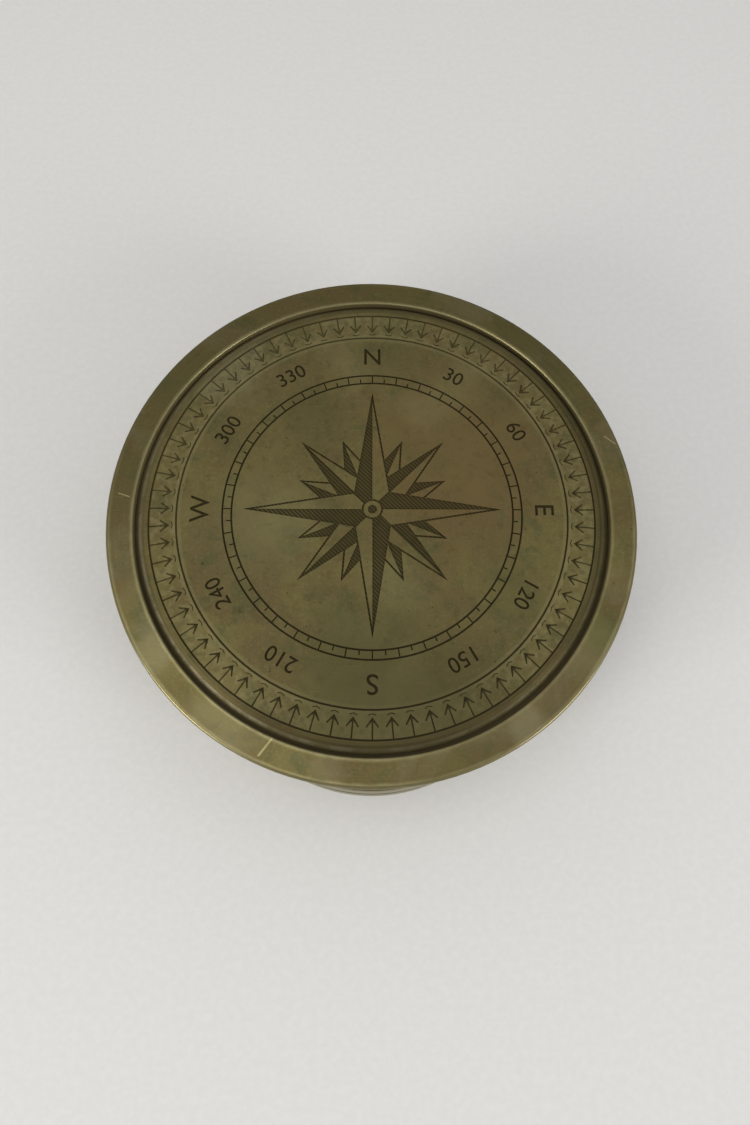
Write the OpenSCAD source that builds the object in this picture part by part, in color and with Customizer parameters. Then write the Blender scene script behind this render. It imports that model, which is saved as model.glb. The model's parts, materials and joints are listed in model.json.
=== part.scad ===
// Pocket and desk compass with a hinged brass lid.
// The origin is the centre of the foot, +Z is up, and the hinge is on the +Y side.
// The lid is closed and the needle points to the hinge.

/* [Lid] */
// Outer diameter of the lid and of the case bands
lid_d = 76; // [70:0.5:84]
// Height of the lid above the parting line
lid_h = 6; // [5.5:0.1:8]
// Thickness of the lid's side wall
lid_wall = 3.4; // [3.2:0.1:4]
// Width of the plain ring round the engraved plate
rim_w = 3.9; // [3.5:0.1:4.6]
// Rounding of the lid's outer edges
lid_edge = 0.45; // [0.2:0.05:0.8]
// Rounding of the ring's inner edge
rim_edge = 0.25; // [0.1:0.05:0.4]
// Gap at the parting line between lid and case
seam = 0.1; // [0.05:0.05:0.3]
// Width of the ledge under the plate
ledge_w = 2.4; // [1.5:0.1:4]
// Thickness of the ledge under the plate
ledge_t = 0.9; // [0.6:0.1:1.2]
// Thickness of the lid's inner lining disc
liner_t = 0.8; // [0.5:0.1:1.2]

/* [Engraved plate] */
// Thickness of the plate
plate_t = 1.2; // [0.9:0.1:1.6]
// Depth of the plate's face below the ring's face
plate_sink = 0.2; // [0:0.05:0.5]
// Open groove between the plate and the ring
plate_gap = 0.4; // [0.2:0.05:0.6]
// Width of the plate's sloping edge
bevel_w = 1.1; // [0.6:0.1:1.6]
// Height of the plate's sloping edge
bevel_h = 0.55; // [0.3:0.05:0.8]
// Plain margin outside the border
border_margin = 0.65; // [0.3:0.05:1.2]
// Width of the border between its two lines
border_w = 3.9; // [3.2:0.1:4.6]
// Number of arrows round the border
arrow_count = 72; // [48:4:84]
// Width of the engraved circle lines
line_w = 0.26; // [0.15:0.01:0.4]
// Depth of the engraving
engrave = 0.16; // [0.1:0.01:0.3]
// Radius of the wind rose
rose_r = 18.6; // [14:0.2:19.5]
// Radius of the circle round the wind rose
rose_ring_r = 20.2; // [19.8:0.2:22]
// Width of the degree scale round that circle
scale_w = 1.3; // [0.8:0.1:1.6]
// Number of marks on the degree scale
mark_count = 72; // [36:12:72]

/* [Case] */
// Depth of the plain wall behind the bands
wall_step = 0.6; // [0.3:0.1:1]
// Height of the band under the parting line
band_h = 3.2; // [2.6:0.1:4.5]
// Radius of the bead round the foot
bead_r = 1.3; // [0.9:0.05:1.8]
// Thickness of the floor
floor_t = 2.4; // [2:0.1:3.5]
// Depth of the turned relief under the floor
foot_sink = 0.6; // [0.3:0.1:1]
// Width of the ring that the case stands on
foot_w = 3.6; // [2:0.2:6]
// Radius of the flat pad in the middle of the foot
foot_pad_r = 18; // [10:1:26]
// Height of the chamber under the dial
chamber_h = 4.6; // [4.5:0.1:6]
// Width of the ledge that carries the dial
dial_ledge_w = 3.8; // [3.4:0.1:5]
// Height of the guide rim that centres the lid
guide_h = 0.8; // [0.4:0.1:1.5]
// Thickness of the guide rim
guide_t = 0.95; // [0.7:0.05:1]
// Gap between the guide rim and the lid's wall
guide_gap = 0.3; // [0.2:0.05:0.5]

/* [Dial and glass] */
// Thickness of the dial card
card_t = 0.8; // [0.5:0.1:1.2]
// Radius of the hole in the dial card
card_hole_r = 3.6; // [3.3:0.1:4.5]
// Height of the degree ring
ring_h = 3; // [2.4:0.1:4]
// Width of the degree ring
ring_w = 3.8; // [3.4:0.1:4.6]
// Height of the slope on the degree ring's inner edge
ring_slope_h = 1.6; // [0.8:0.1:2]
// Free height between the degree ring and the glass seal
glass_room = 3.2; // [2.6:0.1:5]
// Width of the ledge that carries the glass
glass_ledge_w = 1.5; // [1:0.1:2]
// Thickness of the seal under the glass
seal_t = 0.4; // [0.3:0.1:0.8]
// Thickness of the glass
glass_t = 1.6; // [1:0.1:2.4]
// Thickness of the spring ring over the glass
snap_t = 0.9; // [0.6:0.1:1.4]
// Depth of the groove for the spring ring
snap_groove = 0.55; // [0.3:0.05:0.7]
// Opening in the spring ring, in degrees
snap_open = 8; // [4:1:20]
// Depth of the well above the spring ring
well_h = 3.1; // [2:0.1:3.8]

/* [Needle] */
// Distance from the needle's tips to the degree ring
needle_tip_gap = 1; // [0.6:0.1:2]
// Thickness of the needle
needle_t = 0.5; // [0.3:0.05:0.8]
// Width of the needle near its middle
needle_w = 4.6; // [4:0.2:6]
// Radius of the needle's round middle
hub_r = 3.3; // [3:0.1:4]
// Radius of the cap's lower skirt
cap_r = 2.3; // [2.1:0.1:2.8]
// Height of the cap's skirt below the needle
cap_skirt_h = 1; // [0.8:0.1:1.4]
// Height of the cap above the needle
cap_dome_h = 1.5; // [1.2:0.1:2]
// Radius of the jewel in the cap
jewel_r = 1.1; // [0.9:0.05:1.2]
// Distance of the balance weight from the pivot
weight_at = 14; // [9:0.5:18]
// Length of the balance weight along the needle
weight_l = 1.8; // [1:0.1:3]

/* [Pivot] */
// Radius of the post that holds the pivot point
post_r = 1; // [0.8:0.05:1.1]
// Radius of the post's foot
post_foot_r = 3; // [2.4:0.1:3.2]
// Radius of the steel pivot point
point_r = 0.45; // [0.3:0.05:0.5]

/* [Needle arrest] */
// Travel of the plunger that the lid presses down
plunger_travel = 0.8; // [0.6:0.05:0.9]
// Radius of the plunger
plunger_rad = 0.7; // [0.5:0.05:0.8]
// Distance of the lever's fulcrum from the plunger
fulcrum_in = 15.25; // [13.25:0.25:17.25]
// Thickness of the lever
lever_t = 1; // [0.8:0.05:1.2]
// Width of the lever
lever_w = 3.6; // [3:0.1:4]
// Radius of the lever's axle
axle_r = 0.5; // [0.4:0.05:0.6]
// Inner radius of the collar that lifts the needle
collar_r = 1.5; // [1.45:0.05:1.7]
// Wall of the collar that lifts the needle
collar_wall = 0.9; // [0.7:0.05:1.1]

/* [Hinge] */
// Distance of the hinge pin outside the lid
pin_out = 1.5; // [1.4:0.05:2]
// Radius of the hinge knuckles
knuckle_r = 1.3; // [1.1:0.05:1.35]
// Radius of the hinge pin
pin_r = 0.7; // [0.5:0.05:0.8]
// Width of the hinge
hinge_w = 14; // [11:0.5:16]
// Width of the lid's knuckle
mid_knuckle_w = 6.8; // [5:0.2:7]
// Thickness of the hinge leaves
leaf_t = 1.4; // [1:0.1:1.6]
// Height of the leaf on the case
case_leaf_h = 8.6; // [7:0.2:10]
// Radius of the hinge screws
hinge_screw_r = 0.7; // [0.5:0.05:0.8]

/* [Thumb lips] */
// Radius of the lips' curved front
lip_arc_r = 22.5; // [18:0.5:26]
// How far the lid's lip stands out
lip_out = 0.55; // [0.4:0.05:1]
// How much farther the case's lip stands out
lip_step = 0.3; // [0.1:0.05:0.6]
// Thickness of the lips
lip_t = 1.6; // [1.2:0.1:2.2]
// Depth that the lips are let into the wall
lip_let_in = 1.8; // [1.2:0.1:2]

/* [Clearances] */
// Radial clearance of parts that turn or slide in each other
run_fit = 0.06; // [0.03:0.01:0.09]
// Radial clearance of parts that are fixed in each other
fixed_fit = 0.02; // [0.01:0.01:0.04]
// Clearance between faces that pass each other
face_gap = 0.2; // [0.15:0.05:0.3]
// Clearance of a piece dropped into its seat
seat_gap = 0.1; // [0.05:0.05:0.15]

/* [Hidden] */
$fn = 96;

// Cutting tools run past the face that they cut by this much
past = 1;

// Heights, from the foot to the top of the lid
card_z = floor_t + chamber_h;
ring_z = card_z + card_t;
ring_top = ring_z + ring_h;
seal_z = ring_top + glass_room;
glass_z = seal_z + seal_t;
snap_z = glass_z + glass_t;
well_z = snap_z + snap_t;
case_h = well_z + well_h;
lid_z = case_h + seam;
top_z = case_h + lid_h;

// Radii of the lid
lid_r = lid_d / 2;
lid_in_r = lid_r - lid_wall;
pocket_r = lid_r - rim_w;
plate_r = pocket_r - plate_gap;
plate_top = top_z - plate_sink;
plate_z = plate_top - plate_t;
ledge_z = plate_z - ledge_t;
liner_z = ledge_z - liner_t;
seam_edge = lid_edge / 2;

// Radii of the engraving on the plate
border_out_r = plate_r - bevel_w - border_margin;
border_in_r = border_out_r - border_w;
arrow_gap = 0.95;
arrow_len = border_w - arrow_gap;
head_len = 0.18 * arrow_len;
head_half = 0.14 * arrow_len;
stem_half = 0.036 * arrow_len;
barb_len = 0.41 * arrow_len;
barb_half = 0.3 * arrow_len;
barb_t = 0.045 * arrow_len;
arc_in = 0.45 * arrow_gap;
arc_half = 0.18 * arrow_len;
arc_bend = 0.06 * arrow_len;

// Wind rose, and the marks of the degree scale round it
rose_hub_r = 0.075 * rose_r;
rose_dot_r = 0.035 * rose_r;
quarter_waist = 0.2 * rose_r;
half_quarter_len = 0.8 * rose_r;
half_quarter_waist = 0.19 * rose_r;
minor_len = 0.62 * rose_r;
minor_waist = 0.3 * rose_r;
mark_half = 0.35 * line_w;
short_mark = 0.55 * scale_w;

// Radii of the case
wall_r = lid_r - wall_step;
guide_r = lid_in_r - guide_gap;
well_r = guide_r - guide_t;
glass_r = well_r - seat_gap;
dial_r = well_r - glass_ledge_w;
card_r = dial_r - face_gap;
chamber_r = dial_r - dial_ledge_w;
snap_r = well_r + snap_groove;
ring_in_r = card_r - ring_w;
ring_screw_at = (card_r + max(chamber_r, ring_in_r)) / 2;
cove_r = lid_r - wall_r;

// Small screws for sheet metal, all alike, with the angles at which their slots stopped
screw_r = 0.5;
screw_head_r = 0.95;
screw_head_h = 0.5;
screw_bite = 1.2;
slot_w = 0.25;
slot_deep = 0.25;
ring_slot_turn = 20;
bracket_slot_turn = 35;
spring_slot_turn = 70;

// Needle and pivot
needle_below_ring = 0.2;
needle_z = ring_top - needle_below_ring;
needle_top = needle_z + needle_t;
needle_r = ring_in_r - needle_tip_gap;
needle_tip_half = 0.5;
needle_barb = 1.5;
neck_wall = 0.6;
neck_r = jewel_r + neck_wall;
cap_z = needle_z - cap_skirt_h;
jewel_rise = 0.3;
jewel_z = needle_z + jewel_rise;
jewel_h = 1.1;
cup_r = 0.8;
cup_h = 0.52;
tip_gap = 0.06;
tip_z = jewel_z + cup_h - tip_gap;
tip_r = 0.08;
cone_h = 1.05;
post_foot_t = 0.6;
post_below_cap = 1.1;
post_top = cap_z - post_below_cap;
point_sunk = 2;
weight_side = 0.45;

// Needle arrest
plunger_in = 0.05;
plunger_x = lid_in_r + plunger_rad - plunger_in;
fulcrum_x = plunger_x - fulcrum_in;
foot_rim = 0.3;
foot_r = plunger_rad + foot_rim;
foot_h = 0.8;
lever_drop = 1.6;
lever_z = card_z - lever_drop - lever_t;
lever_top = lever_z + lever_t;
axle_z = lever_z + lever_t / 2;
boss_wall = 0.75;
boss_r = axle_r + boss_wall;
lever_tip = 0.35;
lever_end_x = plunger_x + lever_tip;
touch_gap = 0.1;
plunger_z = lever_top + touch_gap;
pocket_gap = 0.35;
pocket_end = lever_end_x + pocket_gap;
pocket_half = lever_w / 2 + 2 * pocket_gap;
pocket_top = plunger_z + foot_h + plunger_travel + face_gap;
collar_out_r = collar_r + collar_wall;
collar_flange = 0.7;
collar_foot_r = collar_out_r + collar_flange;
collar_foot_t = 0.5;
lift_gap = 0.3;
collar_top = cap_z - lift_gap;
ear_t = 1;
ear_in = lever_w / 2 + face_gap + touch_gap;
ear_wall = 1.1;
ear_r = axle_r + ear_wall;
bracket_t = 0.6;
bracket_half = 4.6;
bracket_screw_in = 1.15;
bracket_screw_dx = bracket_half - bracket_screw_in;
spring_t = 0.35;
spring_after = 0.6;
spring_x = fulcrum_x + bracket_half + spring_after;
spring_foot = 3;
spring_half = 1.4;
spring_tip = 0.8;

// Hinge and lips
pin_y = lid_r + pin_out;
leaf_out = pin_y - knuckle_r - 2 * face_gap;
leaf_in = leaf_out - leaf_t;
notch_half = hinge_w / 2 + face_gap;
leaf_below_top = 2.1;
lid_leaf_h = lid_h - leaf_below_top;
web_gap = 0.05;
pin_head_rim = 0.3;
pin_head_r = pin_r + pin_head_rim;
pin_head_h = 0.4;
hinge_head_h = 0.6;
hinge_head_r = hinge_screw_r + hinge_head_h;
leaf_screw_side = 2.4;
case_screw_x = hinge_w / 2 - leaf_screw_side;
case_screw_up = 2.2;
case_screw_z = case_h - case_leaf_h + case_screw_up;
lid_screw_up = 2.4;
lid_screw_z = lid_z + lid_screw_up;
case_screw_bite = 2.2;
case_screw_len = leaf_t + case_screw_bite;
lid_screw_bite = 1.2;
lid_screw_len = leaf_t + lid_screw_bite;
case_slot_turn = 25;
lid_slot_turn = 60;
lip_cham = 0.35;

// Colours of the finished metal, card and glass
brass = [0.42, 0.39, 0.22];
bright_brass = [0.72, 0.6, 0.33];
steel = [0.55, 0.56, 0.58];

// Ring with a square section
module tube(z, h, r_in, r_out) {
    translate([0, 0, z])
        difference() {
            cylinder(r = r_out, h = h);
            translate([0, 0, -past])
                cylinder(r = r_in, h = h + 2 * past);
        }
}

// Upright disc from one height to another
module disc(z, h, r) {
    translate([0, 0, z])
        cylinder(r = r, h = h);
}

// Corner waste that leaves a quarter round on a profile, with the corner at the origin
module quarter_waste(r) {
    difference() {
        translate([-r, -r])
            square(r + past);
        translate([-r, -r])
            circle(r);
    }
}

// Corner waste that leaves a chamfer on a profile, with the corner at the origin
module chamfer_waste(c) {
    polygon([[-c, 0], [0, -c], [past, -c], [past, past], [-c, past]]);
}

// Small cheese-head screw that stands with its head's seat at the origin
module small_screw(bite, turn) {
    difference() {
        union() {
            cylinder(r = screw_head_r, h = screw_head_h, $fn = 32);
            translate([0, 0, -bite])
                cylinder(r = screw_r, h = bite + screw_head_h / 2, $fn = 32);
        }
        rotate([0, 0, turn])
            translate([-screw_head_r - past, -slot_w / 2, screw_head_h - slot_deep])
                cube([2 * (screw_head_r + past), slot_w, slot_deep + past]);
    }
}

// Hole for the small screw, from the seat down
module screw_hole(bite) {
    translate([0, 0, -bite - touch_gap])
        cylinder(r = screw_r + fixed_fit, h = bite + touch_gap + past, $fn = 32);
}

// Countersunk screw along +Y with the face of its head at the origin
module flush_screw(length, grow = 0) {
    rotate([90, 0, 0]) {
        cylinder(r = hinge_screw_r + grow, h = length, $fn = 32);
        cylinder(r1 = hinge_head_r + grow, r2 = hinge_screw_r + grow, h = hinge_head_h, $fn = 32);
    }
}

// Countersunk screws side by side, slotted at random angles
module flush_screws(y, z, length, turn) {
    for (side = [-1, 1])
        translate([side * case_screw_x, y, z])
            difference() {
                flush_screw(length);
                rotate([0, turn * side, 0])
                    translate([-2 * hinge_head_r, -slot_deep, -slot_w / 2])
                        cube([4 * hinge_head_r, past, slot_w]);
            }
}

// Holes for the countersunk screws
module flush_holes(y, z, length) {
    for (side = [-1, 1])
        translate([side * case_screw_x, y, z]) {
            flush_screw(length + touch_gap, fixed_fit);
            rotate([-90, 0, 0])
                cylinder(r = hinge_head_r + fixed_fit, h = past, $fn = 32);
        }
}

// Outline of the case's outside, as a half section
module case_outside() {
    difference() {
        union() {
            square([wall_r, case_h]);
            translate([0, case_h - band_h])
                square([lid_r, band_h]);
            translate([wall_r - past, case_h - band_h - cove_r])
                square([cove_r + past, cove_r + past / 2]);
            translate([lid_r - bead_r, foot_sink + bead_r])
                circle(bead_r);
        }
        translate([lid_r, case_h - band_h - cove_r])
            circle(cove_r);
        translate([lid_r, case_h])
            chamfer_waste(seam_edge);
        mirror([0, 1])
            translate([wall_r, 0])
                chamfer_waste(foot_sink);
    }
}

// Turned brass case: floor, chamber, dial ledge, glass ledge, ring groove and guide rim
module case_body() {
    color(brass)
        difference() {
            union() {
                rotate_extrude($fn = 160)
                    case_outside();
                tube(case_h - past, past + guide_h, well_r, guide_r);
            }
            disc(floor_t, case_h, chamber_r);
            disc(card_z, case_h, dial_r);
            disc(seal_z, case_h, well_r);
            disc(snap_z, snap_t, snap_r);
            tube(-past, past + foot_sink, foot_pad_r, wall_r - foot_w);
            translate([plunger_x, 0, floor_t])
                cylinder(r = plunger_rad + run_fit, h = case_h, $fn = 32);
            lever_pocket();
            hinge_notch(case_h - case_leaf_h, case_leaf_h + past);
            flush_holes(leaf_out, case_screw_z, case_screw_len);
            lip_seat(case_h - lip_t - face_gap, lip_t + face_gap + past, lip_out + lip_step);
            card_screws_at(ring_top)
                screw_hole(ring_h + card_t + screw_bite);
            translate([0, 0, floor_t])
                disc(-touch_gap, past, post_foot_r + fixed_fit);
            bracket_screws_at()
                screw_hole(bracket_t + screw_bite);
            spring_screw_at()
                screw_hole(spring_t + screw_bite);
        }
}

// Pocket in the case's wall where the lever meets the plunger
module lever_pocket() {
    translate([chamber_r - 2 * past, -pocket_half, floor_t])
        cube([pocket_end - chamber_r + 2 * past, 2 * pocket_half, pocket_top - floor_t]);
    translate([plunger_x, 0, floor_t])
        cylinder(r = foot_r + foot_rim, h = pocket_top - floor_t, $fn = 48);
}

// Flat notch behind a hinge leaf
module hinge_notch(z, h) {
    translate([-notch_half, leaf_in, z])
        cube([2 * notch_half, pin_y, h]);
}

// Places of the screws through the degree ring and the dial card
module card_screws_at(z) {
    for (a = [45 : 90 : 315])
        rotate([0, 0, a])
            translate([ring_screw_at, 0, z])
                children();
}

// Places of the screws through the lever's bracket
module bracket_screws_at() {
    for (side = [-1, 1])
        translate([fulcrum_x + side * bracket_screw_dx, 0, floor_t + bracket_t])
            children();
}

// Place of the screw through the lever's spring
module spring_screw_at() {
    translate([spring_x + spring_foot / 2, 0, floor_t + spring_t])
        children();
}

// Plan of a thumb lip, with a curved front and a flat back
module lip_plan(out, grow = 0) {
    intersection() {
        translate([0, lip_arc_r - lid_r - out])
            circle(lip_arc_r + grow, $fn = 160);
        translate([-lid_r, -lid_r - past - out])
            square([2 * lid_r, past + out + lip_let_in + grow]);
    }
}

// Room in a wall for a thumb lip
module lip_seat(z, h, out) {
    translate([0, 0, z])
        linear_extrude(h)
            lip_plan(out, fixed_fit);
}

// Lip on the case's band, under the lid's lip
module case_lip() {
    color(brass)
        translate([0, 0, case_h - lip_t - face_gap])
            difference() {
                linear_extrude(lip_t)
                    lip_plan(lip_out + lip_step);
                translate([0, lip_arc_r - lid_r - lip_out - lip_step, lip_t - lip_cham])
                    lip_chamfer();
            }
}

// Waste that slopes the upper front edge of a lip
module lip_chamfer() {
    difference() {
        disc(0, past, lip_arc_r + past);
        cylinder(r1 = lip_arc_r, r2 = lip_arc_r - past, h = past, $fn = 160);
    }
}

// Leaf screwed to the case, with the two outer knuckles
module case_hinge_leaf() {
    color(brass)
        difference() {
            union() {
                translate([-hinge_w / 2, leaf_in, case_h - case_leaf_h + face_gap])
                    cube([hinge_w, leaf_t, case_leaf_h - 2 * face_gap - touch_gap]);
                for (side = [-1, 1])
                    knuckle(side * (hinge_w + mid_knuckle_w + 2 * face_gap) / 4, outer_knuckle_w(), -1);
            }
            hinge_bore(pin_r + fixed_fit);
            flush_holes(leaf_out, case_screw_z, case_screw_len);
            translate([-mid_knuckle_w / 2 - face_gap, 0, case_h])
                rotate([0, 90, 0])
                    translate([0, pin_y, 0])
                        cylinder(r = knuckle_r + face_gap, h = mid_knuckle_w + 2 * face_gap);
        }
}

// Width of each outer knuckle
function outer_knuckle_w() = (hinge_w - mid_knuckle_w) / 2 - face_gap;

// One knuckle with its web to the leaf: side -1 reaches down, +1 reaches up
module knuckle(x, w, side) {
    translate([x - w / 2, 0, case_h]) {
        translate([0, pin_y, 0])
            rotate([0, 90, 0])
                cylinder(r = knuckle_r, h = w);
        translate([0, leaf_in, side > 0 ? web_gap : -knuckle_r])
            cube([w, pin_y - leaf_in, knuckle_r - web_gap]);
    }
}

// Bore along the hinge's axis
module hinge_bore(r) {
    translate([-hinge_w, pin_y, case_h])
        rotate([0, 90, 0])
            cylinder(r = r, h = 2 * hinge_w, $fn = 48);
}

// Screws that hold the leaf to the case
module case_hinge_screws() {
    color(bright_brass)
        flush_screws(leaf_out, case_screw_z, case_screw_len, case_slot_turn);
}

// Hinge pin with two riveted heads
module hinge_pin() {
    color(steel)
        translate([0, pin_y, case_h])
            rotate([0, 90, 0]) {
                translate([0, 0, -hinge_w / 2 - pin_head_h])
                    cylinder(r = pin_r, h = hinge_w + 2 * pin_head_h, $fn = 48);
                for (end = [0, 1])
                    mirror([0, 0, end])
                        translate([0, 0, hinge_w / 2])
                            cylinder(r1 = pin_head_r, r2 = pin_r, h = pin_head_h, $fn = 48);
            }
}

// Dial card on the case's ledge
module dial_card() {
    color("ivory")
        difference() {
            disc(card_z, card_t, card_r);
            disc(card_z - past, card_t + 2 * past, card_hole_r);
            card_screws_at(ring_top)
                screw_hole(ring_h + card_t + screw_bite);
        }
}

// Raised degree ring round the dial, sloping in towards the needle
module degree_ring() {
    color(bright_brass)
        difference() {
            tube(ring_z, ring_h, ring_in_r, card_r);
            translate([0, 0, ring_top - ring_slope_h])
                cylinder(r1 = ring_in_r, r2 = ring_in_r + ring_slope_h / 2, h = ring_slope_h);
            card_screws_at(ring_top)
                screw_hole(ring_h + card_t + screw_bite);
        }
}

// Screws through the degree ring and the card into the case's ledge
module ring_screws() {
    color(steel)
        card_screws_at(ring_top)
            small_screw(ring_h + card_t + screw_bite, ring_slot_turn);
}

// Flat seal on the glass ledge
module glass_seal() {
    color("black")
        tube(seal_z, seal_t, dial_r + face_gap, glass_r);
}

// Flat glass with its edge broken
module crystal() {
    color([0.8, 0.9, 0.9, 0.3])
        translate([0, 0, glass_z])
            rotate_extrude($fn = 160)
                difference() {
                    square([glass_r, glass_t]);
                    translate([glass_r, glass_t])
                        quarter_waste(seat_gap * 2);
                }
}

// Split spring ring that holds the glass down
module spring_ring() {
    color(bright_brass)
        rotate([0, 0, 90 + snap_open / 2])
            translate([0, 0, snap_z + fixed_fit / 2])
                rotate_extrude(angle = 360 - snap_open, $fn = 160)
                    translate([dial_r + face_gap, 0])
                        square([snap_r - seat_gap / 2 - dial_r - face_gap, snap_t - fixed_fit]);
}

// Post that carries the steel point
module pivot_post() {
    color(bright_brass)
        difference() {
            union() {
                disc(floor_t - touch_gap, post_foot_t + touch_gap, post_foot_r);
                disc(floor_t, post_top - floor_t - post_r / 2, post_r);
                translate([0, 0, post_top - post_r / 2])
                    cylinder(r1 = post_r, r2 = post_r * 0.65, h = post_r / 2);
            }
            disc(post_top - point_sunk, point_sunk + past, point_r + fixed_fit);
        }
}

// Hardened steel point in the post
module pivot_point() {
    color(steel)
        translate([0, 0, post_top - point_sunk]) {
            cylinder(r = point_r, h = tip_z - cone_h - post_top + point_sunk, $fn = 48);
            translate([0, 0, tip_z - cone_h - post_top + point_sunk])
                cylinder(r1 = point_r, r2 = tip_r, h = cone_h, $fn = 48);
        }
}

// Bracket with two ears for the lever's axle
module lever_bracket() {
    color(bright_brass)
        difference() {
            union() {
                translate([fulcrum_x - bracket_half, -ear_in - ear_t, floor_t])
                    cube([2 * bracket_half, 2 * (ear_in + ear_t), bracket_t]);
                for (side = [-1, 1])
                    translate([fulcrum_x, side * (ear_in + ear_t / 2), 0]) {
                        translate([-ear_r, -ear_t / 2, floor_t])
                            cube([2 * ear_r, ear_t, axle_z - floor_t]);
                        translate([0, ear_t / 2, axle_z])
                            rotate([90, 0, 0])
                                cylinder(r = ear_r, h = ear_t, $fn = 48);
                    }
            }
            lever_bore(axle_r + fixed_fit);
            bracket_screws_at()
                screw_hole(bracket_t + screw_bite);
        }
}

// Bore along the lever's axle
module lever_bore(r) {
    translate([fulcrum_x, lever_w * 2, axle_z])
        rotate([90, 0, 0])
            cylinder(r = r, h = lever_w * 4, $fn = 48);
}

// Screws that hold the bracket to the floor
module bracket_screws() {
    color(steel)
        bracket_screws_at()
            small_screw(bracket_t + screw_bite, bracket_slot_turn);
}

// Axle of the lever
module lever_axle() {
    color(steel)
        translate([fulcrum_x, ear_in + ear_t, axle_z])
            rotate([90, 0, 0])
                cylinder(r = axle_r, h = 2 * (ear_in + ear_t), $fn = 48);
}

// Leaf spring that pushes the lever's outer end up
module lever_spring() {
    tip_x = plunger_x - foot_r;
    tip_top = lever_z - face_gap;
    color(steel)
        difference() {
            translate([0, spring_half, floor_t])
                rotate([90, 0, 0])
                    linear_extrude(2 * spring_half)
                        polygon([
                            [spring_x, 0],
                            [spring_x + spring_foot, 0],
                            [tip_x - spring_tip, tip_top - spring_t - floor_t],
                            [tip_x, tip_top - spring_t - floor_t],
                            [tip_x, tip_top - floor_t],
                            [tip_x - spring_tip, tip_top - floor_t],
                            [spring_x + spring_foot, spring_t],
                            [spring_x, spring_t]
                        ]);
            spring_screw_at()
                screw_hole(spring_t + screw_bite);
        }
}

// Screw that holds the spring to the floor
module spring_screw() {
    color(steel)
        spring_screw_at()
            small_screw(spring_t + screw_bite, spring_slot_turn);
}

// Lever from the plunger to the collar round the post
module arrest_lever() {
    color(bright_brass)
        difference() {
            union() {
                translate([0, -lever_w / 2, lever_z])
                    cube([lever_end_x, lever_w, lever_t]);
                disc(lever_z, lever_t, collar_foot_r);
                translate([fulcrum_x, lever_w / 2, axle_z])
                    rotate([90, 0, 0])
                        cylinder(r = boss_r, h = lever_w, $fn = 48);
            }
            lever_bore(axle_r + run_fit);
            disc(lever_z - past, lever_t + 2 * past, collar_r);
        }
}

// Collar on the lever that lifts the needle off its point
module lift_collar() {
    color(bright_brass)
        difference() {
            union() {
                disc(lever_top, collar_foot_t, collar_foot_r);
                disc(lever_top, collar_top - lever_top, collar_out_r);
            }
            disc(lever_top - past, case_h, collar_r);
        }
}

// Plunger that the closed lid presses down, with its foot on the lever
module arrest_plunger() {
    color(steel)
        translate([plunger_x, 0, plunger_z]) {
            cylinder(r = foot_r, h = foot_h, $fn = 48);
            cylinder(r = plunger_rad, h = case_h - plunger_z, $fn = 48);
        }
}

// Half width of the needle's south arm at a distance from the pivot
function south_half(d) = needle_w / 2 - (needle_w / 2 - needle_tip_half) * d / needle_r;

// Flat steel needle: arrow to the north, taper to the south
module needle() {
    head_at = 0.68 * needle_r;
    head_half_w = needle_w * 0.46;
    north_half = needle_w * 0.2;
    color("midnightblue")
        difference() {
            union() {
                translate([0, 0, needle_z])
                    linear_extrude(needle_t)
                        polygon([
                            [-needle_w / 2, 0],
                            [-needle_tip_half, -needle_r],
                            [needle_tip_half, -needle_r],
                            [needle_w / 2, 0],
                            [north_half, head_at],
                            [head_half_w, head_at - needle_barb],
                            [0, needle_r],
                            [-head_half_w, head_at - needle_barb],
                            [-north_half, head_at]
                        ]);
                disc(needle_z, needle_t, hub_r);
            }
            disc(needle_z - past, needle_t + 2 * past, neck_r + fixed_fit);
        }
}

// Turned brass cap riveted through the needle
module needle_cap() {
    color(bright_brass)
        difference() {
            union() {
                disc(cap_z, cap_skirt_h, cap_r);
                disc(cap_z, cap_skirt_h + needle_t, neck_r);
                translate([0, 0, needle_top])
                    rotate_extrude($fn = 64)
                        intersection() {
                            square([cap_r, cap_dome_h]);
                            translate([0, cap_dome_h - dome_round()])
                                circle(dome_round());
                        }
            }
            disc(cap_z - past, jewel_z + jewel_h - cap_z + past, jewel_r + fixed_fit);
        }
}

// Radius of the dome on the cap, through its edge and its top
function dome_round() = (cap_r * cap_r + cap_dome_h * cap_dome_h) / (2 * cap_dome_h);

// Jewel bearing with a conical cup
module cap_jewel() {
    color("firebrick")
        difference() {
            disc(jewel_z, jewel_h, jewel_r);
            translate([0, 0, jewel_z])
                cylinder(r1 = cup_r, r2 = 0, h = cup_h, $fn = 48);
        }
}

// Sliding weight that balances the dip on the south arm
module balance_weight() {
    wide = south_half(weight_at - weight_l / 2) + fixed_fit;
    color(bright_brass)
        translate([0, -weight_at, needle_z])
            difference() {
                translate([-wide - weight_side, -weight_l / 2, -weight_side])
                    cube([2 * (wide + weight_side), weight_l, needle_t + 2 * weight_side]);
                translate([-wide, -weight_l / 2 - past, -fixed_fit])
                    cube([2 * wide, weight_l + 2 * past, needle_t + 2 * fixed_fit]);
            }
}

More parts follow.
